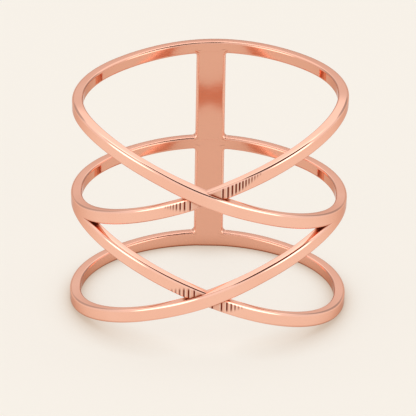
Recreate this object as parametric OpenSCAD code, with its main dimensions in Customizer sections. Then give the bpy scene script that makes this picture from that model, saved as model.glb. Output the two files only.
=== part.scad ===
// Criss-cross ring of three hoops: the hoops run round the back and the sides, each
// pair swaps sides across the front, and a flat post joins them at the back.
// The finger axis is Z, the front is -Y, and the underside of the bottom hoop is z = 0.

/* [Finger opening] */
// Inner diameter of the ring
inner_d = 17.3; // [15:0.1:21]
// Thickness of the metal between the finger and the outside
wall = 0.74; // [0.5:0.01:0.9]

/* [Hoops] */
// Height of a hoop at the back and the sides
hoop_h = 0.84; // [0.6:0.02:1.1]
// Distance between the middles of two neighbouring hoops
hoop_pitch = 7.14; // [6:0.02:9]
// How far the top hoop leans, up on the right and down on the left
top_lean = 0.31; // [0:0.01:0.5]
// How far the hoops bow up where they meet the post
back_bow = 0.21; // [0:0.01:0.4]

/* [Strands] */
// Width of a strand at the front, measured across it
strand_w = 0.96; // [0.86:0.02:1.2]
// How far the strand on top of a crossing stands out from the ring
over_rise = 0.25; // [0.05:0.01:0.3]
// How far the strand below it is sunk into the ring
under_drop = 0.02; // [0.02:0.01:0.2]
// Depth of one of the fine steps in the lower strand
step_depth = 0.055; // [0.04:0.005:0.07]

/* [Post] */
// Width of the post at the back
post_w = 1.97; // [1.4:0.01:3]
// Radius of the corners between the post and the hoops
post_corner = 0.25; // [0.1:0.05:0.5]

/* [Hidden] */

inner_r = inner_d / 2;
outer_r = inner_r + wall;
ring_top = hoop_h + 2 * hoop_pitch + top_lean + back_bow;
post_half = asin(post_w / 2 / (inner_r + wall / 2));

// Angles are measured round the finger from the front, in degrees, positive on the right.
side_angle = 90;       // where the strands run into the hoops
bow_span = 47;         // reach of the bow at the back, on either side of the post
narrow_from = 50;      // a strand begins to narrow here
narrow_to = 110;       // and has its hoop's height here
rise_span = 28;        // reach of the raised part of a crossing
turn_step = 4;         // turn between two sections of an opening
rise_step = 2;         // turn between two sections of the raised part
steps = 7;             // number of fine steps on either side of a crossing
clear = 0.5;           // how far a cutting shape runs past what it cuts
slit = 0.05;           // smallest gap at which an opening ends
skin = 0.02;           // clearance between faces that would otherwise coincide
tread_turn = 0.05;     // half the turn taken up by the face of one fine step
first_turn = 0.4;      // where the fine steps begin, just off the crossing's middle
near_front = 15;       // a crossing's middle lies within this angle of the front
halvings = 16;         // how often a search halves its range
round_fn = 180;        // sides of the drawn round walls
// Distances from the post at which a rounded corner gets a section, as shares of its radius
CORNER_SHARES = [0, 0.08, 0.25, 0.5, 0.75, 1];

// A crossing's two strands: FALLS runs down from left to right, RISES runs up.
FALLS = 1;
RISES = -1;
LEFT = -1;
RIGHT = 1;
// The sunken strand of each crossing, by the level of the hoop above it
UNDER = [undef, FALLS, RISES];

// The front strands are not quite alike. A row of `STRANDS` holds, by column:
LEVEL = 0;  // level of the hoop above
WAY = 1;    // the way it runs
LIFT = 2;   // how far its middle sits above the middle of its two hoops
SWAY = 3;   // how far it swings up on the right and down on the left, between middle and side
SHOULDER = 4; // how far it is raised near both sides, before it runs into its hoops
STRANDS = [
    [2, FALLS, 0.26, -0.12, 0.15],
    [2, RISES, 0.4, -0.03, 0.03],
    [1, FALLS, 0.06, -0.065, 0],
    [1, RISES, 0.1, 0.02, 0.12]
];
function strand_row(level, way) = [for (s = STRANDS) if (s[LEVEL] == level && s[WAY] == way) s][0];

// Smooth 0 to 1 for t from 0 to 1
function ease(t) = let (c = min(max(t, 0), 1)) c * c * (3 - 2 * c);

// Height added by the bow at the back
function bow(a) = let (t = (180 - abs(a)) / bow_span)
    t < 1 ? back_bow * (1 + cos(180 * t)) / 2 : 0;

// Height of the middle line of hoop 0, 1 or 2 at angle a
function hoop_z(level, a) =
    hoop_h / 2 + level * hoop_pitch + (level == 2 ? top_lean * sin(a) : 0) + bow(a);

// Share of the upper hoop in a falling strand at angle a: all of it on the left side
function upper_share(a) = abs(a) < side_angle ? (1 - sin(a)) / 2 : (a < 0 ? 1 : 0);

// Middle line of the strand that swaps hoop `level` for the hoop below it
function strand_z(level, way, a) =
    let (
        row = strand_row(level, way),
        share = upper_share(way * a),
        shift = row[LIFT] * cos(a) ^ 2 + row[SWAY] * sin(2 * a)
            + row[SHOULDER] * (sin(2 * a) * sin(a)) ^ 2
    )
    share * hoop_z(level, a) + (1 - share) * hoop_z(level - 1, a) + (abs(a) < side_angle ? shift : 0);

// Half the upright height of the strand, from its width and how steeply it climbs
function strand_half(level, way, a) =
    let (
        width = hoop_h + (strand_w - hoop_h) * ease((narrow_to - abs(a)) / (narrow_to - narrow_from)),
        climb = (strand_z(level, way, a + 1) - strand_z(level, way, a - 1)) / (outer_r * PI / 90)
    )
    width * sqrt(1 + climb ^ 2) / 2;

function upper_edge(level, way, a) = strand_z(level, way, a) + strand_half(level, way, a);
function lower_edge(level, way, a) = strand_z(level, way, a) - strand_half(level, way, a);

// Outline of the openings between two strands or hoops
function ring_crest(a) = max(upper_edge(2, FALLS, a), upper_edge(2, RISES, a));
function ring_foot(a) = min(lower_edge(1, FALLS, a), lower_edge(1, RISES, a));
function centre_floor(a) = max(upper_edge(1, FALLS, a), upper_edge(1, RISES, a));
function centre_ceiling(a) = min(lower_edge(2, FALLS, a), lower_edge(2, RISES, a));
function side_floor(level, side, a) = upper_edge(level, side, a);
function side_ceiling(level, side, a) = lower_edge(level, -side, a);
function side_gap(level, side, a) = side_ceiling(level, side, a) - side_floor(level, side, a);
function centre_gap(a) = centre_ceiling(a) - centre_floor(a);

// Turn between `open` and `shut`, on one side, where a gap closes down to a slit
function side_end(level, side, open, shut, n = halvings) =
    let (mid = (open + shut) / 2)
    n == 0 ? mid
    : side_gap(level, side, side * mid) > slit ? side_end(level, side, mid, shut, n - 1)
    : side_end(level, side, open, mid, n - 1);
function centre_end(side, open, shut, n = halvings) =
    let (mid = (open + shut) / 2)
    n == 0 ? mid
    : centre_gap(side * mid) > slit ? centre_end(side, mid, shut, n - 1)
    : centre_end(side, open, mid, n - 1);

// Angle at which the middle lines of a crossing's strands meet
function crossing_at(level, left = -near_front, right = near_front, n = halvings) =
    let (mid = (left + right) / 2)
    n == 0 ? mid
    : strand_z(level, FALLS, mid) > strand_z(level, RISES, mid) ? crossing_at(level, mid, right, n - 1)
    : crossing_at(level, left, mid, n - 1);

// How far a rounded corner reaches in at distance s from the post
function corner_in(s) = s < post_corner ? post_corner - sqrt(post_corner ^ 2 - (post_corner - s) ^ 2) : 0;

// Reach of a crossing's raised part, 1 at its middle and 0 at its ends
function hump(a) = abs(a) < rise_span ? cos(90 * a / rise_span) ^ 2 : 0;
function over_r(a) = outer_r - skin + (over_rise + skin) * hump(a);
function under_r(a) = outer_r + skin - (under_drop + skin) * hump(a);

// Fine steps: flat treads that all face the front, each one a step deeper than the last
function tread_angle(k) = acos(1 - k * step_depth / outer_r);
function tread_depth(k) = under_r(tread_angle(k)) * cos(tread_angle(k));

// Edge of the upper strand, or the middle of the gap where the two have parted
function under_wall(level, side, a) =
    let (
        under = UNDER[level], above = -under * side,
        over_edge = above > 0 ? upper_edge(level, -under, a) : lower_edge(level, -under, a),
        under_edge = above > 0 ? lower_edge(level, under, a) : upper_edge(level, under, a)
    )
    over_edge + above * max(0, above * (under_edge - over_edge)) / 2;

// Far edge of the lower strand, and a little past it
function under_rim(level, side, a) =
    let (under = UNDER[level], above = -under * side)
    (above > 0 ? upper_edge(level, under, a) : lower_edge(level, under, a)) + above * clear;

// Angles a step apart on both sides of the front, with `middle` in place of 0
function fan(middle, count) = [for (i = [-count:count]) i == 0 ? middle : i * turn_step];

function turned(a, r, z) = [r * sin(a), -r * cos(a), z];

// Solid swept round the finger axis. A row of `sections` holds, by column:
AT = 0;     // angle
NEAR = 1;   // inner radius
FAR = 2;    // outer radius
LOW = 3;    // lowest height
HIGH = 4;   // greatest height
module swept(sections, closed = false) {
    n = len(sections);
    corners = [for (s = sections) each [
        turned(s[AT], s[NEAR], s[LOW]),
        turned(s[AT], s[FAR], s[LOW]),
        turned(s[AT], s[FAR], s[HIGH]),
        turned(s[AT], s[NEAR], s[HIGH])
    ]];
    spans = closed ? n : n - 1;
    walls = [for (i = [0:spans - 1], j = [0:3])
        let (next = (i + 1) % n, k = (j + 1) % 4)
        each [[4 * i + j, 4 * i + k, 4 * next + k], [4 * i + j, 4 * next + k, 4 * next + j]]];
    ends = closed ? [] : [[3, 2, 1, 0], [for (j = [0:3]) 4 * (n - 1) + j]];
    polyhedron(points = corners, faces = concat(walls, ends));
}

// Opening between the post, two hoops and the crossing of their strands
module side_opening(level, side) {
    from_post = 180 - post_half;
    corner_turn = post_corner / outer_r * 180 / PI;
    last = side_end(level, side, side_angle / 2, 0);
    turns = concat(
        [for (t = CORNER_SHARES) from_post - t * corner_turn],
        [for (a = [from_post - corner_turn - turn_step:-turn_step:last + turn_step / 2]) a],
        [last]
    );
    sections = [for (t = turns)
        let (a = side * t, inset = corner_in((from_post - t) * PI / 180 * outer_r))
        [a, inner_r - clear, outer_r + clear,
            side_floor(level, side, a) + inset, side_ceiling(level, side, a) - inset]];
    // The sweep always runs from left to right
    swept(side > 0 ? [for (i = [len(sections) - 1:-1:0]) sections[i]] : sections);
}

// Diamond between the two crossings
module centre_opening() {
    left_end = centre_end(LEFT, 0, side_angle);
    right_end = centre_end(RIGHT, 0, side_angle);
    middle = (crossing_at(1) + crossing_at(2)) / 2;
    inside = [for (a = fan(middle, floor(side_angle / turn_step)))
        if (a > turn_step / 2 - left_end && a < right_end - turn_step / 2) a];
    swept([for (a = concat([-left_end], inside, [right_end]))
        [a, inner_r - clear, outer_r + clear, centre_floor(a), centre_ceiling(a)]]);
}

// Everything above the ring, all the way round
module above_ring() {
    swept([for (a = fan(crossing_at(2), 180 / turn_step)) if (a < 180)
        [a, inner_r - clear, outer_r + clear, ring_crest(a), ring_top + 2 * clear]], closed = true);
}

// Everything below the front strands; the hoop behind them stays flat underneath
module below_ring() {
    swept([for (a = fan(crossing_at(1), floor(side_angle / turn_step)))
        [a, inner_r - clear, outer_r + clear, -clear, ring_foot(a)]]);
}

// Tube with the raised strip down its front
module blank() {
    difference() {
        union() {
            cylinder(r = outer_r, h = ring_top + clear, $fn = round_fn);
            swept([for (a = [-rise_span:rise_step:rise_span])
                [a, inner_r + wall / 2, over_r(a), hoop_h, ring_top - hoop_h]]);
        }
        translate([0, 0, -clear])
            cylinder(r = inner_r, h = ring_top + 3 * clear, $fn = round_fn);
    }
}

// What is cut from the lower strand on one side of a crossing, with its fine steps
module under_cut(level, side) {
    treads = [for (k = [1:steps]) each [
        [tread_angle(k) - tread_turn, k],
        [tread_angle(k) + tread_turn, k + 1]
    ]];
    first = side * crossing_at(level) + first_turn;
    stepped = concat([[first, 1]], [for (t = treads) if (t[1] <= steps) t]);
    smooth_from = tread_angle(steps) + tread_turn;
    floors = concat(
        [for (t = stepped) [t[0], tread_depth(t[1]) / cos(t[0])]],
        [for (a = [smooth_from:rise_step:rise_span]) [a, under_r(a)]]
    );
    sections = [for (f = floors)
        let (
            a = side * f[0],
            wall_z = under_wall(level, side, a),
            rim_z = under_rim(level, side, a)
        )
        [a, f[1], outer_r + over_rise + clear, min(wall_z, rim_z), max(wall_z, rim_z)]];
    swept(side > 0 ? sections : [for (i = [len(sections) - 1:-1:0]) sections[i]]);
}

module ring() {
    color("#e0a283")
    difference() {
        blank();
        above_ring();
        below_ring();
        centre_opening();
        for (level = [1, 2], side = [LEFT, RIGHT]) {
            side_opening(level, side);
            under_cut(level, side);
        }
    }
}

ring();
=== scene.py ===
import math
from collections import namedtuple

import bmesh
import bpy
import numpy as np
from mathutils import Matrix, Vector


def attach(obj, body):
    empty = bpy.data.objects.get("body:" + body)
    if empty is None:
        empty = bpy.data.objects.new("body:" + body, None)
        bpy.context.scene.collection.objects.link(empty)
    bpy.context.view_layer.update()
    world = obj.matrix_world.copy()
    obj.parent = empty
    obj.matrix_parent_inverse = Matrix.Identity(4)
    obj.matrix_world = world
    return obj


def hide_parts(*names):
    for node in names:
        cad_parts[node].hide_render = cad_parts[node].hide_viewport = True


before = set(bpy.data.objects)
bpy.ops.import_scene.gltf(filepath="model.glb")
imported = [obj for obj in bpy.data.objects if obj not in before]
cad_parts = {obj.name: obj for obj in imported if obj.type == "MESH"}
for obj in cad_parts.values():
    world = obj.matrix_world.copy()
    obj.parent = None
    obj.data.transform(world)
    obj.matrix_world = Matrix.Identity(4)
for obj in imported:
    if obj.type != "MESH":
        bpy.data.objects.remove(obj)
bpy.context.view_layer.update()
MM = 0.001

# Camera: a long lens, so that the view is close to parallel
IMAGE = 416                     # width and height of the picture in pixels
PIXELS_PER_MM = 14.693
CAM_TILT = math.radians(24)     # how steeply it looks down
CAM_ROLL = math.radians(0.953)
CAM_DISTANCE = 744 * MM
CAM_NEAR, CAM_FAR = 0.01, 10
SENSOR = 36                     # in mm
AIM = Vector((0, 0, 8.08)) * MM
AIM_PIXEL = (208.98, 190.0)     # where the aim shows in the picture


def make_camera():
    data = bpy.data.cameras.new("camera")
    data.sensor_width = SENSOR
    data.lens = PIXELS_PER_MM / MM * CAM_DISTANCE / IMAGE * SENSOR
    data.clip_start = CAM_NEAR
    data.clip_end = CAM_FAR
    data.dof.use_dof = False
    camera = bpy.data.objects.new("camera", data)
    right = Vector((1, 0, 0))
    up = Vector((0, math.sin(CAM_TILT), math.cos(CAM_TILT)))
    back = Vector((0, -math.cos(CAM_TILT), math.sin(CAM_TILT)))
    x = math.cos(CAM_ROLL) * right + math.sin(CAM_ROLL) * up
    y = math.cos(CAM_ROLL) * up - math.sin(CAM_ROLL) * right
    off_x = (AIM_PIXEL[0] - IMAGE / 2) / PIXELS_PER_MM * MM
    off_y = (IMAGE / 2 - AIM_PIXEL[1]) / PIXELS_PER_MM * MM
    at = AIM + back * CAM_DISTANCE - x * off_x - y * off_y
    camera.matrix_world = Matrix.Translation(at) @ Matrix((x, y, back)).transposed().to_4x4()
    bpy.context.scene.collection.objects.link(camera)
    bpy.context.scene.camera = camera


# Sizes of the ring in mm, as in its CAD source. Angles are in degrees from the front, positive
# on the right.
OUTER_R = 9.39
INNER_R = 8.65
MEAN_R = (INNER_R + OUTER_R) / 2
HOOP_H = 0.84
PITCH = 7.14        # from the middle of one hoop to the next
TOP_LEAN = 0.31     # how far the top hoop leans, up on the right
BACK_BOW = 0.21     # how far the hoops bow up at the post
STRAND_W = 0.96     # width of a strand at the front
OVER_RISE = 0.25    # how far the upper strand of a crossing stands out
UNDER_DROP = 0.02   # and how far the lower one is sunk
POST_W = 1.97
POST_CORNER = 0.25  # radius of the corners between the post and the hoops

SIDE_ANGLE = 90     # where the strands run into the hoops
RISE_SPAN = 28      # reach of the raised part of a crossing
BOW_SPAN = 47       # reach of the bow, on either side of the post
NARROW_FROM, NARROW_TO = 50, 110    # where a strand narrows to its hoop's height

# Levels of the hoops. A strand, a crossing or a piece of the post has that of the hoop above it.
BOTTOM, MIDDLE, TOP = 0, 1, 2
# A strand runs down from left to right, or up
FALLS, RISES = 1, -1
LEFT, RIGHT = -1, 1
LOWER, UPPER = -1, 1
# The lower strand of each crossing
UNDER = {TOP: RISES, MIDDLE: FALLS}

# A strand, by its level and the way it runs: how far its middle is lifted, how far it swings up
# on the right and down on the left, and how far it is raised near both sides
Strand = namedtuple("Strand", "lift sway shoulder")
STRANDS = {
    (TOP, FALLS): Strand(0.26, -0.12, 0.15),
    (TOP, RISES): Strand(0.40, -0.03, 0.03),
    (MIDDLE, FALLS): Strand(0.06, -0.065, 0),
    (MIDDLE, RISES): Strand(0.10, 0.02, 0.12),
}

# Softened edges, in mm
ROUND_OUT = 0.19    # radius on the outside
ROUND_IN = 0.15     # and on the finger's side
POST_ROUND = 0.17   # and along the post, on the finger's side
POST_FLAT = POST_W / 2 - POST_ROUND     # half the width of the post's flat inside
EDGE_WARP = 0.3     # how much flatter the middle of each rounding is
CROWN = 0.18        # how much the upper faces lean outward at their outer edge
CROWN_CURVE = 0.8   # power with which that lean grows across them
BORE_TILT = 0.0075  # how much the polished inside looks upward

# Fine steps in the lower strand, by the level of the crossing and the side of it. Slope number k,
# from 1 to count, is where the outside has curved back from the front by
# start + step * k + growth * k * k, in mm. It runs in from one edge of the strand.
Steps = namedtuple("Steps", "start step growth count edge")
STEPS = {
    (TOP, RIGHT): Steps(0.008, 0.035, 0.0015, 12, UPPER),
    (TOP, LEFT): Steps(0.02, 0.059, -0.0006, 8, UPPER),
    (MIDDLE, RIGHT): Steps(-0.034, 0.038, 0.0012, 7, UPPER),
    (MIDDLE, LEFT): Steps(0, 0.035, 0.0026, 6, LOWER),
}
LEAST_DEPTH = 0.004     # and no slope lies nearer the front than this
SLOPE_W = 0.08          # width of a slope between two steps
FADE, FADE_FROM = 0.5, 0.6      # what the last steps lose in height, and from which share of the way
LONG, SHORTER, LENGTH_BLEND = 1.3, 1.6, 0.5     # how far they reach across, and how soft they end
STEPS_EDGE = (0.01, 0.12)   # how far up the rounding they go, and over how much of it they end
# The marks below are painted shade on the slopes and painted highlight beside them
MARKS_EDGE = (0.6, 0.3)     # the same for the marks on them
MARKS_DEEP = 1.05       # how far in from the outside the marks go, as a share of the rounding
MARKS_REACH = 40        # angle within which all the marks lie
TREAD_SHADE = 0.22      # how much the steps nearest the crossing are shaded
BORE_EDGE = 0.8         # share of the rounding on the finger's side that counts as inside
FLOOR_NEAR = 0.01       # what lies no higher than this stands on the floor

# A painted line along a slope (shade on it, highlight beside it): its middle, in widths of the slope, and
# how it falls off from there
Line = namedtuple("Line", "middle full fall")
SHADE_LINE = Line(0.5, 1.95, 1.9)
GLINT_LINE = Line(-0.75, 1.4, 3.2)

# Sections of the meshes. Angles in degrees, the rest in mm or as shares.
COARSE_TURN, FINE_TURN = 1.5, 0.75
LEAST_TURN = 0.02                   # the least from one section to the next
FINE_REACH, FINE_MARGIN = 45, 0.2   # angle within which they are fine, and the margin beside it
# Places of the sections at a slope, in widths of the slope from where it starts
SLOPE_SECTIONS = (-1.35, -1.05, -0.75, -0.45, -0.2, 0.05, 0.25, 0.5, 0.75, 0.95, 1.2, 1.45)
FACE_COLUMNS = (-1, -0.6, -0.2, 0.2, 0.6, 0.9, 1)       # across an outer face
ARC_STEPS = 8           # round an edge
CORNER_STEPS = 8        # round a corner of the post
STRAIGHT_STEPS = 12     # up the side of the post
POST_COLUMNS = 7        # across the post
POST_SUNK = 0.2         # how far the post runs into the hoops
LAP = 7                 # how far a strand runs on inside its hoop
LONG_WAY = 270          # where the bands end that run on round the back
NUDGE = 0.0012          # how much smaller each next solid is, so that no faces coincide
TILT_TURN = 0.05        # turn over which the slope of a surface is measured
ENDS_SLACK = 1          # turn by which a point may seem to lie beyond the end of its band
FAR_OFF = 100           # more than any two points are apart
TINY = 1e-9


def ease(t):
    """Smooth 0 to 1 for t from 0 to 1."""
    c = np.clip(t, 0, 1)
    return c * c * (3 - 2 * c)


def wrap(a):
    return (np.asarray(a, float) + 180) % 360 - 180


def arc_mm(turn):
    """Length on the outside of the ring that a turn in degrees takes up."""
    return turn * math.pi / 180 * OUTER_R


def bow(a):
    t = np.minimum((180 - np.abs(a)) / BOW_SPAN, 1)
    return BACK_BOW * (1 + np.cos(np.pi * t)) / 2


def hoop_z(level, a):
    """Height of a hoop's middle line."""
    lean = TOP_LEAN * np.sin(np.radians(a)) if level == TOP else 0
    return HOOP_H / 2 + level * PITCH + lean + bow(a)


def strand_z(level, way, a):
    """Height of the middle line of the strand that swaps a hoop for the one below it."""
    lift, sway, shoulder = STRANDS[level, way]
    rad = np.radians(a)
    front = np.abs(a) < SIDE_ANGLE
    share = np.where(front, (1 - np.sin(way * rad)) / 2, np.where(way * a < 0, 1.0, 0.0))
    shift = lift * np.cos(rad) ** 2 + sway * np.sin(2 * rad)
    shift = shift + shoulder * (np.sin(2 * rad) * np.sin(rad)) ** 2
    return share * hoop_z(level, a) + (1 - share) * hoop_z(level - 1, a) + np.where(front, shift, 0)


def strand_half(level, way, a):
    """Half the upright height of a strand, from its width and how steeply it climbs."""
    width = HOOP_H + (STRAND_W - HOOP_H) * ease((NARROW_TO - np.abs(a)) / (NARROW_TO - NARROW_FROM))
    climb = (strand_z(level, way, a + 1) - strand_z(level, way, a - 1)) / arc_mm(2)
    return width * np.sqrt(1 + climb ** 2) / 2


def hump(a):
    """Reach of a crossing's raised part, 1 at its middle and 0 at its ends."""
    return np.where(np.abs(a) < RISE_SPAN, np.cos(np.radians(90 * a / RISE_SPAN)) ** 2, 0)


def smooth_under(a):
    """Outer radius of a lower strand without its steps."""
    return OUTER_R - UNDER_DROP * hump(a)


def inner_r(a):
    """Radius of the bore, which is flat where the post is."""
    turn = np.radians(np.minimum(180 - np.abs(wrap(a)), 90))
    edge = POST_FLAT / INNER_R
    return np.where(turn < edge, INNER_R * math.cos(edge) / np.cos(turn), INNER_R)


def slope_angles(level, side):
    """Angles at which the slopes between the steps start, and one more beyond the last."""
    start, step, growth, count, _ = STEPS[level, side]
    k = np.arange(1, count + 2)
    depth = np.maximum(start + step * k + growth * k * k, LEAST_DEPTH)
    return np.degrees(np.sqrt(2 * depth / OUTER_R))


def line_at(s, line):
    """How strong a line is at places s."""
    return np.clip(line.full - np.abs(s - line.middle) * line.fall, 0, 1)


def stepped_under(level, a, v):
    """Outer radius of a lower strand, the painted shade on its slopes, and the painted highlight beside
    them.

    The steps have their full height and length beside the crossing, and less further out.
    """
    r = smooth_under(a)
    shade_share, glint_share = np.zeros_like(r), np.zeros_like(r)
    for side in (LEFT, RIGHT):
        turns = slope_angles(level, side)
        t = a * side
        treads = smooth_under(turns) * np.cos(np.radians(turns))
        tread = np.full_like(r, treads[0])
        # painted shade along each slope, and a painted highlight beside it
        shade_lines, glint_lines = np.zeros_like(r), np.zeros_like(r)
        for k, turn in enumerate(turns[:-1]):
            s = (t - turn) * math.pi / 180 * OUTER_R / SLOPE_W
            tread = tread + (treads[k + 1] - treads[k]) * ease(s)
            shade_lines = np.maximum(shade_lines, line_at(s, SHADE_LINE))
            glint_lines = np.maximum(glint_lines, line_at(s, GLINT_LINE))
        far = np.clip(t / turns[-2], 0, 1)
        height = 1 - FADE * ease((far - FADE_FROM) / (1 - FADE_FROM))
        length = LONG - SHORTER * far * far
        keep = height * ease((v * STEPS[level, side].edge + length) / LENGTH_BLEND)
        here = (t > 0) & (t < turns[-1])
        shade_lines = np.maximum(shade_lines, TREAD_SHADE * (1 - far))
        r = np.where(here, r + (tread / np.cos(np.radians(a)) - r) * keep, r)
        shade_share = np.where(here, shade_lines * keep, shade_share)
        glint_share = np.where(here, glint_lines * keep * (1 - shade_lines), glint_share)
    return r, shade_share, glint_share


def warped(out, across):
    """Turns the normals of a rounding, so that its middle is flatter than its ends."""
    turn = np.arctan2(np.abs(across), np.abs(out))
    bent = turn + EDGE_WARP * np.sin(4 * turn) / 4
    size = np.hypot(out, across)
    return size * np.cos(bent) * np.sign(out), size * np.sin(bent) * np.sign(across)


def unit(n):
    return n / np.maximum(np.linalg.norm(n, axis=1), TINY)[:, None]


def quarter():
    """Angles from 0 to a quarter turn, round a softened edge."""
    return np.linspace(0, math.pi / 2, ARC_STEPS + 1)


class Band:
    """A strand, of rounded rectangular section, with the hoops that it runs on into."""

    def __init__(self, level, way, start, end, nudge):
        self.level, self.way = level, way
        self.start, self.end = start, end
        self.nudge = nudge
        self.is_under = way == UNDER[level]
        self.is_lowest = level - 1 == BOTTOM

    def middle(self, a):
        """Height of its middle line. Beyond 180 degrees it runs on along a hoop."""
        before, after = self.level, self.level - 1
        if self.way == RISES:
            before, after = after, before
        strand = strand_z(self.level, self.way, np.clip(a, -180, 180))
        hoop = np.where(a < 0, hoop_z(before, wrap(a)), hoop_z(after, wrap(a)))
        return np.where(np.abs(a) > 180, hoop, strand)

    def half(self, a):
        """Half its upright height."""
        strand = strand_half(self.level, self.way, np.clip(a, -180, 180))
        return np.where(np.abs(a) > 180, HOOP_H / 2, strand)

    def slope(self, a):
        """Rise of its middle line for each mm along the outside."""
        return (self.middle(a + 0.5) - self.middle(a - 0.5)) / arc_mm(1)

    def edges(self, a):
        """Heights of its foot and its top. The bottom hoop stands on the floor."""
        low, high = self.middle(a) - self.half(a), self.middle(a) + self.half(a)
        if self.is_lowest:
            low = np.where(a * self.way > SIDE_ANGLE, 0, np.maximum(low, 0))
        return low + self.nudge, high - self.nudge

    def across(self, a, z):
        """Place across the band at height z, -1 at its foot and 1 at its top."""
        low, high = self.edges(a)
        return (2 * z - low - high) / (high - low)

    def flat_share(self, a, v, reach, blend):
        """1 on the outer face, and 0 from a share reach of the way into its upper rounding.

        The change takes a share blend of the rounding.
        """
        low, high = self.edges(a)
        rounding = 2 * ROUND_OUT * np.sqrt(1 + self.slope(a) ** 2) / (high - low)
        return ease((1 - rounding * (1 - reach) - v) / (rounding * blend))

    def outer(self, a, v):
        """Outer radius at angle a and place v across."""
        if not self.is_under:
            return OUTER_R + OVER_RISE * hump(a) - self.nudge
        plain = smooth_under(a)
        stepped, _, _ = stepped_under(self.level, a, v)
        return plain + (stepped - plain) * self.flat_share(a, v, *STEPS_EDGE) - self.nudge

    def own_angles(self, p):
        """Angles of points p as the band counts them, on whichever lap they lie."""
        a = np.degrees(np.arctan2(p[:, 0], -p[:, 1]))
        laps = np.stack([a - 360, a, a + 360], 1)
        low, high = self.edges(laps)
        outside = (laps < self.start - ENDS_SLACK) | (laps > self.end + ENDS_SLACK)
        miss = np.abs(p[:, 2:3] - (low + high) / 2) + FAR_OFF * outside
        return laps[np.arange(len(a)), miss.argmin(1)]

    def painted_marks(self, p):
        """How much painted shade points p get on the slopes between the steps, and how much painted
        highlight beside them.
        """
        a = self.own_angles(p)
        v = self.across(a, p[:, 2])
        _, shade_share, glint_share = stepped_under(self.level, a, v)
        outside = np.hypot(p[:, 0], p[:, 1]) > self.outer(a, v) - ROUND_OUT * MARKS_DEEP
        marked = (np.abs(a) < MARKS_REACH) & outside
        share = np.where(marked, self.flat_share(a, v, *MARKS_EDGE), 0)
        return shade_share * share, glint_share * share

    def turns(self):
        """Angles of its sections, closer together at the front and at each slope."""
        coarse = np.arange(self.start, self.end + LEAST_TURN, COARSE_TURN)
        flat = math.degrees(POST_FLAT / INNER_R)
        flat_ends = [back + side * flat for back in (-180, 180) for side in (LEFT, RIGHT)]
        inside = [a for a in flat_ends if self.start < a < self.end]
        coarse = np.unique(np.concatenate([coarse, inside]))
        turns = [coarse[np.abs(coarse) > FINE_REACH + FINE_MARGIN],
                 np.arange(-FINE_REACH, FINE_REACH + LEAST_TURN, FINE_TURN)]
        if self.is_under:
            offsets = np.array(SLOPE_SECTIONS) * SLOPE_W / OUTER_R * 180 / math.pi
            turns += [side * (a + offsets) for side in (LEFT, RIGHT)
                      for a in slope_angles(self.level, side)[:-1]]
        turns = np.sort(np.concatenate(turns))
        return turns[np.concatenate([[True], np.diff(turns) > LEAST_TURN])]

    def build(self):
        """Its points, as an array by section, place round the section and coordinate."""
        turns = self.turns()
        low, high = self.edges(turns)
        inner = inner_r(turns) + self.nudge
        steep = np.sqrt(1 + self.slope(turns) ** 2)
        tall_out, tall_in = ROUND_OUT * steep, ROUND_IN * steep
        foot_r = self.outer(turns, -np.ones_like(turns)) - ROUND_OUT
        top_r = self.outer(turns, np.ones_like(turns)) - ROUND_OUT
        rows = []

        def add(z, r):
            rows.append(np.stack([r * np.sin(np.radians(turns)), -r * np.cos(np.radians(turns)), z], 1))

        for v in FACE_COLUMNS:
            z = low + tall_out + (high - low - 2 * tall_out) * (v + 1) / 2
            add(z, self.outer(turns, self.across(turns, z)))
        for t in quarter()[1:]:
            add(high - tall_out + tall_out * np.sin(t), top_r + ROUND_OUT * np.cos(t))
        for t in quarter()[::-1]:
            add(high - tall_in + tall_in * np.sin(t), inner + ROUND_IN - ROUND_IN * np.cos(t))
        for t in quarter():
            add(low + tall_in - tall_in * np.sin(t), inner + ROUND_IN - ROUND_IN * np.cos(t))
        for t in quarter()[:0:-1]:
            add(low + tall_out - tall_out * np.sin(t), foot_r + ROUND_OUT * np.cos(t))
        return np.stack(rows, 1)

    def normals(self, p):
        """Surface normals at points p."""
        a = self.own_angles(p)
        rad = np.radians(a)
        level = np.zeros_like(rad)
        radial = np.stack([np.sin(rad), -np.cos(rad), level], 1)
        along = np.stack([np.cos(rad), np.sin(rad), level], 1)
        up = np.array([0, 0, 1.0])

        r, z = np.hypot(p[:, 0], p[:, 1]), p[:, 2]
        low, high = self.edges(a)
        slope = self.slope(a)
        squash = 1 / np.sqrt(1 + slope ** 2)
        v = self.across(a, z)
        outer, bore = self.outer(a, v), inner_r(a) + self.nudge
        edge = np.where(r > (outer + INNER_R) / 2, ROUND_OUT, ROUND_IN)
        across = np.maximum(edge - (high - z) * squash, 0) - np.maximum(edge - (z - low) * squash, 0)
        out = np.maximum(r - (outer - ROUND_OUT), 0) - np.maximum(bore + ROUND_IN - r, 0)
        radial[(np.abs(p[:, 0]) < POST_FLAT) & (p[:, 1] > 0) & (out < 0)] = (0, 1, 0)

        rise = self.outer(a + TILT_TURN, v) - self.outer(a - TILT_TURN, v)
        tilt = np.where(out > 0, rise / arc_mm(2 * TILT_TURN), 0)
        on_floor = (across < 0) & self.is_lowest & (low < FLOOR_NEAR)
        climb = np.where(on_floor, 0, slope)
        out, across = warped(out, across)
        n = out[:, None] * (radial - tilt[:, None] * along) / np.sqrt(1 + tilt ** 2)[:, None]
        n = n + (across / np.sqrt(1 + climb ** 2))[:, None] * (up - climb[:, None] * along)
        lean = CROWN * np.clip((r - bore) / (outer - ROUND_OUT - bore), 0, 1) ** CROWN_CURVE
        n = n + (lean * np.maximum(n[:, 2], 0))[:, None] * radial
        n[out < 0, 2] -= BORE_TILT * out[out < 0]
        return unit(n)


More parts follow.
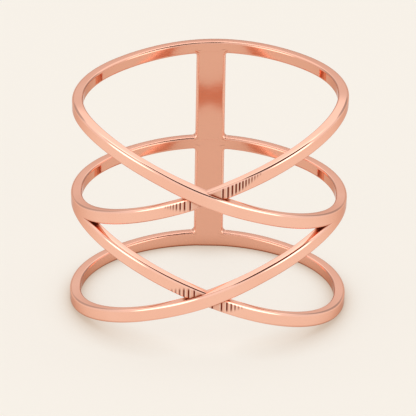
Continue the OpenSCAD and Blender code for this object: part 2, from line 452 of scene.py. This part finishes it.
class Post:
    """The flat post at the back between two hoops, with rounded inner corners."""

    half = POST_W / 2
    is_under = False

    def __init__(self, level, nudge):
        self.level, self.nudge = level, nudge
        self.outer, self.inner = OUTER_R - nudge, INNER_R + nudge

    def hoop_edges(self, side, s):
        """The hoops' edges at distance s from the post, below and above it."""
        a = side * (180 - (self.half + s) / MEAN_R * 180 / math.pi)
        foot = hoop_z(self.level - 1, a) + HOOP_H / 2
        top = hoop_z(self.level, a) - HOOP_H / 2
        return foot - self.nudge, top + self.nudge

    def chain(self, side):
        """One side from foot to top. A row holds the distance from the post's middle, the
        height, and the direction to the opening beside the post.
        """
        c = POST_CORNER
        feet, tops = [], []
        for t in np.linspace(0, math.pi / 2, CORNER_STEPS + 1):
            s = c - c * math.sin(t)
            foot, top = self.hoop_edges(side, s)
            rise = c - c * math.cos(t)
            feet.append((self.half + s, foot + rise, math.sin(t), math.cos(t)))
            tops.insert(0, (self.half + s, top - rise, math.sin(t), -math.cos(t)))
        foot, top = self.hoop_edges(side, 0)
        straight = [(self.half, z, 1, 0) for z in np.linspace(foot + c, top - c, STRAIGHT_STEPS)[1:-1]]
        chain = np.array([feet[0], *feet, *straight, *tops, tops[-1]])
        chain[0, 1] -= POST_SUNK
        chain[-1, 1] += POST_SUNK
        return chain

    def build(self):
        """Its points, as an array by height, place round the post and coordinate."""
        right, left = self.chain(RIGHT), self.chain(LEFT)
        rows = []

        def add(u, z, r):
            turn = u / MEAN_R
            rows.append(np.stack([r * np.sin(turn), r * np.cos(turn), z], 1))

        def add_edge(side, chain, back, r):
            add(side * (chain[:, 0] - back * chain[:, 2]), chain[:, 1] - back * chain[:, 3], r)

        def add_face(shares, back, radius_at):
            for w in shares:
                u = w * (self.half - back)
                z = (right[:, 1] * (1 + w) + left[:, 1] * (1 - w)) / 2
                add(np.full(len(z), u), z, radius_at(u))

        def flat_r(u):
            return inner_r(180 - np.degrees(u / MEAN_R)) + self.nudge

        shares = np.linspace(-1, 1, POST_COLUMNS)[1:-1]
        outside = [(ROUND_OUT * (1 - math.sin(t)), self.outer - ROUND_OUT * (1 - math.cos(t)))
                   for t in quarter()]
        inside = [(POST_ROUND * (1 - math.sin(t)), self.inner + POST_ROUND * (1 - math.cos(t)))
                  for t in quarter()]
        for back, r in outside + inside[::-1]:
            add_edge(RIGHT, right, back, r)
        add_face(-shares, POST_ROUND, flat_r)
        for back, r in inside + outside[::-1]:
            add_edge(LEFT, left, back, r)
        add_face(shares, ROUND_OUT, lambda u: self.outer)
        return np.stack(rows, 1)

    def normals(self, p):
        """Surface normals at points p."""
        turn = np.arctan2(p[:, 0], p[:, 1])
        side = np.where(turn > 0, RIGHT, LEFT)
        u = np.abs(turn) * MEAN_R
        r, z = np.hypot(p[:, 0], p[:, 1]), p[:, 2]
        c = POST_CORNER
        foot, top = self.hoop_edges(side, np.clip(u - self.half, 0, c))
        by_foot, by_top = z < foot + c, z > top - c
        corner = by_foot | by_top
        du, dz = self.half + c - u, np.where(by_foot, foot + c, top - c) - z
        rho = np.maximum(np.hypot(du, dz), TINY)
        deep = np.where(corner, rho - c, self.half - u)
        to_side, to_top = np.where(corner, du / rho, 1), np.where(corner, dz / rho, 0)

        across = np.maximum(np.where(r > MEAN_R, ROUND_OUT, POST_ROUND) - deep, 0)
        out = np.maximum(r - (self.outer - ROUND_OUT), 0) - np.maximum(self.inner + POST_ROUND - r, 0)
        level = np.zeros_like(turn)
        radial = np.stack([np.sin(turn), np.cos(turn), level], 1)
        along = np.stack([np.cos(turn), -np.sin(turn), level], 1) * side[:, None]
        n = out[:, None] * radial + (across * to_side)[:, None] * along
        n[:, 2] += across * to_top
        n[(r < MEAN_R) & (np.abs(p[:, 0]) < POST_FLAT)] = (0, -1, BORE_TILT)
        return unit(n)


SOLIDS = [
    Band(TOP, FALLS, -LONG_WAY, LONG_WAY, 0),
    Band(TOP, RISES, -SIDE_ANGLE - LAP, SIDE_ANGLE + LAP, NUDGE),
    Band(MIDDLE, FALLS, -SIDE_ANGLE - LAP, LONG_WAY, 2 * NUDGE),
    Band(MIDDLE, RISES, -SIDE_ANGLE - LAP, SIDE_ANGLE + LAP, 3 * NUDGE),
    Post(MIDDLE, 4 * NUDGE),
    Post(TOP, 4 * NUDGE),
]


def solid_object(index, solid):
    """A closed mesh in mm, whose faces all have the solid's index for a material index."""
    points = solid.build()
    sections, around = points.shape[:2]
    ids = np.arange(sections * around).reshape(sections, around)
    ahead = np.roll(ids, -1, axis=1)
    faces = np.stack([ids[:-1], ids[1:], ahead[1:], ahead[:-1]], -1).transpose(1, 0, 2)
    faces = faces.reshape(-1, 4).tolist() + [ids[0].tolist(), ids[-1, ::-1].tolist()]
    mesh = bpy.data.meshes.new(f"solid_{index}")
    mesh.from_pydata(points.reshape(-1, 3).tolist(), [], faces)
    for _ in SOLIDS:
        mesh.materials.append(None)     # so that the union keeps every index
    mesh.polygons.foreach_set("material_index", np.full(len(mesh.polygons), index, np.int32))
    work = bmesh.new()
    work.from_mesh(mesh)
    bmesh.ops.triangulate(work, faces=[f for f in work.faces if len(f.verts) > 4])
    bmesh.ops.recalc_face_normals(work, faces=work.faces)
    work.to_mesh(mesh)
    work.free()
    made = bpy.data.objects.new(f"solid_{index}", mesh)
    bpy.context.scene.collection.objects.link(made)
    return made


def joined_mesh():
    """One closed mesh of all the solids. Its faces keep the index of the solid they come from."""
    objects = [solid_object(i, solid) for i, solid in enumerate(SOLIDS)]
    base = objects[0]
    for other in objects[1:]:
        union = base.modifiers.new(other.name, "BOOLEAN")
        union.operation = "UNION"
        union.solver = "MANIFOLD"
        union.object = other
    graph = bpy.context.evaluated_depsgraph_get()
    mesh = bpy.data.meshes.new_from_object(base.evaluated_get(graph))
    for made in objects:
        used = made.data
        bpy.data.objects.remove(made)
        bpy.data.meshes.remove(used)
    return mesh


def read(items, name, kind, width=1):
    """A value of every vertex, corner or face of a mesh, as an array."""
    values = np.empty(len(items) * width, kind)
    items.foreach_get(name, values)
    return values.reshape(-1, width) if width > 1 else values


def make_ring():
    """The ring, with the true normals of its surfaces and with masks for the painted shade and painted
    highlight of its material.
    """
    mesh = joined_mesh()
    mesh.name = "ring_bands"
    points = read(mesh.vertices, "co", float, 3)
    corner_vertex = read(mesh.loops, "vertex_index", np.int64)
    source = read(mesh.polygons, "material_index", np.int64)
    corner_source = np.repeat(source, read(mesh.polygons, "loop_total", np.int64))

    normals = np.zeros((len(corner_vertex), 3))
    slope_shade, slope_glint = np.zeros(len(points)), np.zeros(len(points))
    for i, solid in enumerate(SOLIDS):
        mine = corner_source == i
        normals[mine] = solid.normals(points[corner_vertex[mine]])
        if solid.is_under:
            own = np.unique(corner_vertex[mine])
            # painted shade on the slopes, and painted highlight beside them
            shade_share, glint_share = solid.painted_marks(points[own])
            slope_shade[own] = np.maximum(slope_shade[own], shade_share)
            slope_glint[own] = np.maximum(slope_glint[own], glint_share)
    # how far a point lies on the finger's side: a mask for painted shade there, and for its roughness
    past_bore = np.hypot(points[:, 0], points[:, 1]) - INNER_R
    inside = 1 - ease(past_bore / (ROUND_IN * BORE_EDGE))

    mesh.vertices.foreach_set("co", (points * MM).ravel())
    mesh.polygons.foreach_set("material_index", np.zeros(len(source), np.int32))
    mesh.polygons.foreach_set("use_smooth", np.ones(len(source), bool))
    mesh.materials.clear()
    for name, values in (("slope_shade", slope_shade), ("slope_glint", slope_glint), ("inside", inside)):
        layer = mesh.attributes.new(name, "FLOAT", "POINT")
        layer.data.foreach_set("value", values.astype(np.float32))
    mesh.update()
    mesh.normals_split_custom_set(normals.tolist())
    made = bpy.data.objects.new("ring_bands", mesh)
    bpy.context.scene.collection.objects.link(made)
    return made


class Nodes:
    """Short calls for building a node tree."""

    def __init__(self, tree):
        self.tree = tree

    def add(self, kind, links=(), **settings):
        node = self.tree.nodes.new(kind)
        for key, value in settings.items():
            setattr(node, key, value)
        for socket, value in dict(links).items():
            if isinstance(value, bpy.types.NodeSocket):
                self.tree.links.new(value, node.inputs[socket])
            else:
                node.inputs[socket].default_value = value
        return node

    def math(self, operation, *values):
        return self.add("ShaderNodeMath", enumerate(values), operation=operation).outputs[0]

    def mix(self, factor, a, b, blend="MIX"):
        """Mix of two colours. Inputs 6 and 7 and output 2 are those that the node has for colours."""
        links = {0: factor, 6: a, 7: b}
        return self.add("ShaderNodeMix", links, data_type="RGBA", blend_type=blend).outputs[2]

    def map(self, value, a, b, c, d, smooth=False):
        kind = "SMOOTHSTEP" if smooth else "LINEAR"
        links = {0: value, 1: a, 2: b, 3: c, 4: d}
        return self.add("ShaderNodeMapRange", links, interpolation_type=kind).outputs[0]

    def noise(self, vector, scale, detail=3.0, rough=0.5):
        links = {"Vector": vector, "Scale": scale, "Detail": detail, "Roughness": rough}
        return self.add("ShaderNodeTexNoise", links).outputs[0]

    def attribute(self, name):
        return self.add("ShaderNodeAttribute", attribute_name=name).outputs["Fac"]

    def openness(self, reach, samples):
        """1 on an open surface, and less in a corner narrower than the reach."""
        node = self.add("ShaderNodeAmbientOcclusion", {"Distance": reach}, samples=samples)
        return node.outputs["AO"]


# Rose gold: its tones, with painted shade and painted highlight, in linear colour
GOLD = (0.967, 0.548, 0.418, 1)
GOLD_PALE = (0.982, 0.578, 0.448, 1)
GOLD_SHADED = (0.80, 0.415, 0.297, 1)     # painted shade: a deeper tone on the finger's side
SLOPE_SHADE = (0.15, 0.012, 0.003, 1)        # painted shade on the slopes between the fine steps
SLOPE_GLINT = (1.0, 0.80, 0.66, 1)            # and a painted highlight beside them
GRAZING = (0.74, 0.56, 0.50, 1)         # tint of the reflection at grazing angles
CREVICE_SHADE = (0.72, 0.33, 0.21, 1)         # painted shade in narrow corners
CONTACT_SHADE = (0.42, 0.13, 0.06, 1)         # painted shade right beside a step from one strand to the other
# How near other metal is, in m, and the openness at which the tone begins and is full
CREVICE_REACH, CREVICE_OPEN = 0.0011, (0.62, 0.2)
CONTACT_REACH, CONTACT_OPEN = 0.0003, (0.92, 0.55)
CONTACT_MOST = 0.95
CORNER_SAMPLES = 8
# Slow change from one tone of gold to the other
CLOUD_SCALE, CLOUD_DETAIL, CLOUD_RANGE = 260, 2, (0.35, 0.65)
# Polishing streaks that run round the finger
STREAK_SCALE, STREAK_DETAIL, STREAK_ROUGH, STREAK_RANGE = 1400, 4, 0.6, (0.3, 0.7)
STREAK_SQUASH = (1, 1, 9)
STREAK_BUMP, STREAK_DEPTH = 0.015, 0.00001
# Roughness of the polish, and what is added to it on the slopes with painted shade, in the
# corners with painted shade, and at the back on the edges and on the finger's side
POLISH = (0.04, 0.075)
SLOPE_SHADE_ROUGH, CREVICE_ROUGH, EDGE_ROUGH, BORE_ROUGH = 0.25, 0.35, 0.22, 0.04
INSIDE_RANGE = (0.8, 1)
BACK_FROM, BACK_TO = 0.0055, 0.008      # where the back begins, in m behind the finger axis


def gold_material():
    made = bpy.data.materials.new("rose_gold")
    made.use_nodes = True
    n = Nodes(made.node_tree)
    shader = made.node_tree.nodes["Principled BSDF"]
    place = n.add("ShaderNodeTexCoord").outputs["Object"]
    slope_shade, slope_glint, inside = (n.attribute(name) for name in ("slope_shade", "slope_glint", "inside"))
    clouds = n.noise(place, CLOUD_SCALE, CLOUD_DETAIL)
    streaks_at = n.add("ShaderNodeMapping", {"Vector": place, "Scale": STREAK_SQUASH}).outputs[0]
    streaks = n.noise(streaks_at, STREAK_SCALE, STREAK_DETAIL, STREAK_ROUGH)
    # painted shade in corners where other metal is near
    crevice_shade = n.map(n.openness(CREVICE_REACH, CORNER_SAMPLES), *CREVICE_OPEN, 0, 1, smooth=True)
    # painted shade right beside a step from one strand to the other
    contact_shade = n.map(n.openness(CONTACT_REACH, CORNER_SAMPLES), *CONTACT_OPEN, 0, CONTACT_MOST, smooth=True)

    tone = n.mix(n.map(clouds, *CLOUD_RANGE, 0, 1), GOLD, GOLD_PALE)
    # layers of painted shade and painted highlight over the gold
    layers = ((inside, GOLD_SHADED), (slope_glint, SLOPE_GLINT), (slope_shade, SLOPE_SHADE), (crevice_shade, CREVICE_SHADE), (contact_shade, CONTACT_SHADE))
    for share, colour in layers:
        tone = n.mix(share, tone, colour)
    n.tree.links.new(tone, shader.inputs["Base Color"])

    depth = n.add("ShaderNodeSeparateXYZ", {"Vector": place}).outputs["Y"]
    back = n.map(depth, BACK_FROM, BACK_TO, 0, 1, smooth=True)
    rough = n.map(streaks, *STREAK_RANGE, *POLISH)
    rough = n.math("ADD", rough, n.math("MULTIPLY", slope_shade, SLOPE_SHADE_ROUGH))
    rough = n.math("ADD", rough, n.math("MULTIPLY", crevice_shade, CREVICE_ROUGH))
    softer = n.map(inside, *INSIDE_RANGE, EDGE_ROUGH, BORE_ROUGH)
    rough = n.math("ADD", rough, n.math("MULTIPLY", back, softer))
    n.tree.links.new(rough, shader.inputs["Roughness"])
    bump = n.add("ShaderNodeBump", {"Strength": STREAK_BUMP, "Distance": STREAK_DEPTH, "Height": streaks})
    n.tree.links.new(bump.outputs[0], shader.inputs["Normal"])
    shader.inputs["Metallic"].default_value = 1
    shader.inputs["Specular Tint"].default_value = GRAZING
    return made


# Floor, in m
FLOOR_HALF = 1.5
FLOOR_LIGHT = (0.930, 0.880, 0.807, 1)  # what the floor looks like
FLOOR_SHADE = (0.70, 0.58, 0.47, 1)     # and close beside the ring
SHADE_REACH, SHADE_OPEN = 0.0028, (0.95, 0.45)
SHADE_SAMPLES = 16
FLOOR_GLOW = 0.75       # share of its light that the floor gives off by itself
FLOOR_LIT = 1.085       # light that the tent throws on it
GRAIN_SCALE = 2500      # paper grain
GRAIN_LIGHTER = 1.03
GRAIN_ROUGH = (0.85, 0.95)
FLOOR_GLOSS = 0.1


def paper_material():
    made = bpy.data.materials.new("paper")
    made.use_nodes = True
    n = Nodes(made.node_tree)
    shader = made.node_tree.nodes["Principled BSDF"]
    grain = n.noise(n.add("ShaderNodeTexCoord").outputs["Object"], GRAIN_SCALE)
    shade = n.map(n.openness(SHADE_REACH, SHADE_SAMPLES), *SHADE_OPEN, 0, 1)
    tone = n.mix(shade, FLOOR_LIGHT, FLOOR_SHADE)
    lit = (1 - FLOOR_GLOW) / FLOOR_LIT
    lighter = lit * GRAIN_LIGHTER
    plain = n.mix(grain, (lit, lit, lit, 1), (lighter, lighter, lighter, 1))
    n.tree.links.new(n.mix(1.0, plain, tone, "MULTIPLY"), shader.inputs["Base Color"])
    n.tree.links.new(tone, shader.inputs["Emission Color"])
    n.tree.links.new(n.map(grain, 0, 1, *GRAIN_ROUGH), shader.inputs["Roughness"])
    shader.inputs["Emission Strength"].default_value = FLOOR_GLOW
    shader.inputs["Specular IOR Level"].default_value = FLOOR_GLOSS
    return made


def make_floor():
    mesh = bpy.data.meshes.new("floor")
    corners = [(x * FLOOR_HALF, y * FLOOR_HALF, 0) for x, y in ((-1, -1), (1, -1), (1, 1), (-1, 1))]
    mesh.from_pydata(corners, [], [(0, 1, 2, 3)])
    mesh.materials.append(paper_material())
    floor = bpy.data.objects.new("floor", mesh)
    bpy.context.scene.collection.objects.link(floor)


# Light tent. Directions are unit vectors, and light is relative.
TENT_TONE = (1, 0.99, 0.98, 1)
FRONT_LIGHT = 1.0
BEHIND = (-0.15, 0.15)              # depths between which the front gives way to the back
EDGE_LIGHT, LOW_LIGHT, HIGH_LIGHT, TOP_LIGHT = 0.68, 0.90, 1.14, 1.9    # of the back, going up
EDGE_RISE = (0.02, 0.16)            # heights between which the edge turns to low
EDGE_DEPTH = (0.50, 0.85)           # and depths between which it begins and is full
HIGH_RISE = (0.40, 0.54)            # heights between which low turns to high
TOP_RISE = (0.78, 0.95)             # and high to top
# Patches that multiply the light of the tent, from the cosine at which one begins to the one at
# which it is full: softboxes, a dark and a dim gap overhead, and two dim ones low at the back
Patch = namedtuple("Patch", "toward begins full light")
PATCHES = (
    Patch((0.78, -0.50, 0.36), 0.91, 0.96, 2.4),
    Patch((-0.78, -0.50, 0.36), 0.91, 0.96, 2.4),
    Patch((0.25, -0.30, 0.92), 0.890, 0.930, 0.07),
    Patch((-0.45, -0.08, 0.89), 0.940, 0.975, 0.65),
    Patch((0.62, 0.71, 0.33), 0.940, 0.985, 0.55),
    Patch((-0.62, 0.71, 0.33), 0.940, 0.985, 0.62),
)


def make_world():
    world = bpy.data.worlds.new("studio")
    bpy.context.scene.world = world
    world.use_nodes = True
    n = Nodes(world.node_tree)
    way = n.add("ShaderNodeTexCoord").outputs["Generated"]
    part = n.add("ShaderNodeSeparateXYZ", {"Vector": way}).outputs
    height, depth = part["Z"], part["Y"]

    back = n.map(height, *HIGH_RISE, LOW_LIGHT, HIGH_LIGHT, smooth=True)
    back = n.math("MULTIPLY", back, n.map(height, *TOP_RISE, 1, TOP_LIGHT / HIGH_LIGHT, smooth=True))
    dim = n.map(height, *EDGE_RISE, 1 - EDGE_LIGHT / LOW_LIGHT, 0, smooth=True)
    dim = n.math("MULTIPLY", dim, n.map(depth, *EDGE_DEPTH, 0, 1, smooth=True))
    back = n.math("MULTIPLY", back, n.math("SUBTRACT", 1, dim))
    behind = n.map(depth, *BEHIND, 0, 1, smooth=True)
    front = n.math("MULTIPLY", n.math("SUBTRACT", 1, behind), FRONT_LIGHT)
    light = n.math("ADD", n.math("MULTIPLY", back, behind), front)
    for patch in PATCHES:
        toward = {0: way, 1: Vector(patch.toward).normalized()}
        near = n.add("ShaderNodeVectorMath", toward, operation="DOT_PRODUCT").outputs["Value"]
        change = n.map(near, patch.begins, patch.full, 1, patch.light, smooth=True)
        light = n.math("MULTIPLY", light, change)
    background = world.node_tree.nodes["Background"]
    n.tree.links.new(light, background.inputs["Strength"])
    background.inputs["Color"].default_value = TENT_TONE


make_camera()
ring = make_ring()
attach(ring, "root")
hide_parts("ring")
ring.data.materials.append(gold_material())
make_floor()
make_world()
bpy.context.scene.view_settings.view_transform = "Standard"
